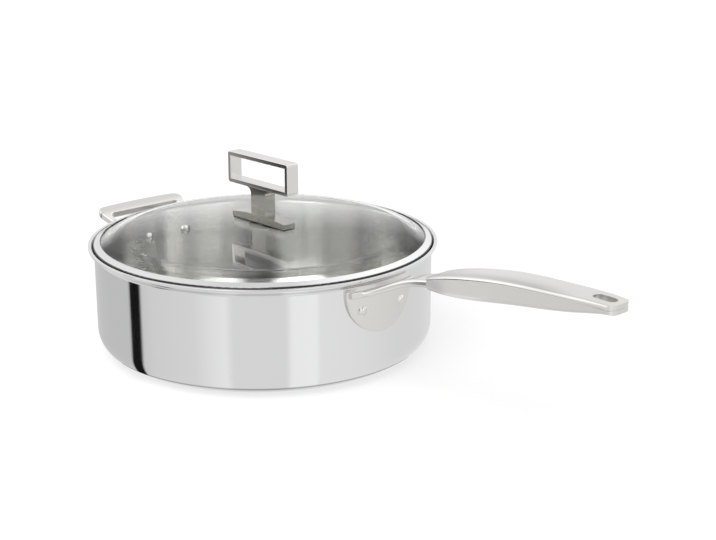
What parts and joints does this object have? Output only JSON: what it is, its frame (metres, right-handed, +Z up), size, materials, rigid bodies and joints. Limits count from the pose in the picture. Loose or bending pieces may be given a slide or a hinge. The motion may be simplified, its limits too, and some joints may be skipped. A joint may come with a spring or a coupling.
{
  "type": "saute pan with lid",
  "caption": "Lidded saute pan with straight polished walls, a hollow long grip, a loop helper handle and a domed glass lid with a ring knob.",
  "frame": {"origin": "centre of the flat underside that stands on the hob", "axes": "+Z up, through the middle of the pan; +X out along the long handle; +Y completes the right-handed frame"},
  "size_m": [0.5615, 0.2952, 0.1619],
  "materials": {
    "polished_steel": "mirror polished",
    "brushed_steel": "satin",
    "core_aluminium": "plain",
    "clear_glass": "clear",
    "gasket_rubber": "matt"
  },
  "bodies": {
    "pan": {"pan_outer_skin": "polished_steel", "pan_core": "core_aluminium", "pan_inner_liner": "brushed_steel", "long_handle_bracket": "brushed_steel", "grip_upper_shell": "brushed_steel", "grip_lower_shell": "brushed_steel", "hanging_eye": "brushed_steel", "long_handle_rivets": "brushed_steel", "helper_handle": "brushed_steel", "helper_handle_rivets": "brushed_steel"},
    "lid": {"lid_rim_band": "polished_steel", "lid_glass": "clear_glass", "knob_ring": "brushed_steel", "knob_stem": "brushed_steel", "knob_top_gasket": "gasket_rubber", "knob_low_gasket": "gasket_rubber", "knob_washer": "brushed_steel", "knob_screw": "brushed_steel"}
  },
  "joints": [
    {"name": "lid_lift", "type": "slide", "parent": "pan", "child": "lid", "axis": [0, 0, 1], "range_m": [0, 0.12]}
  ]
}
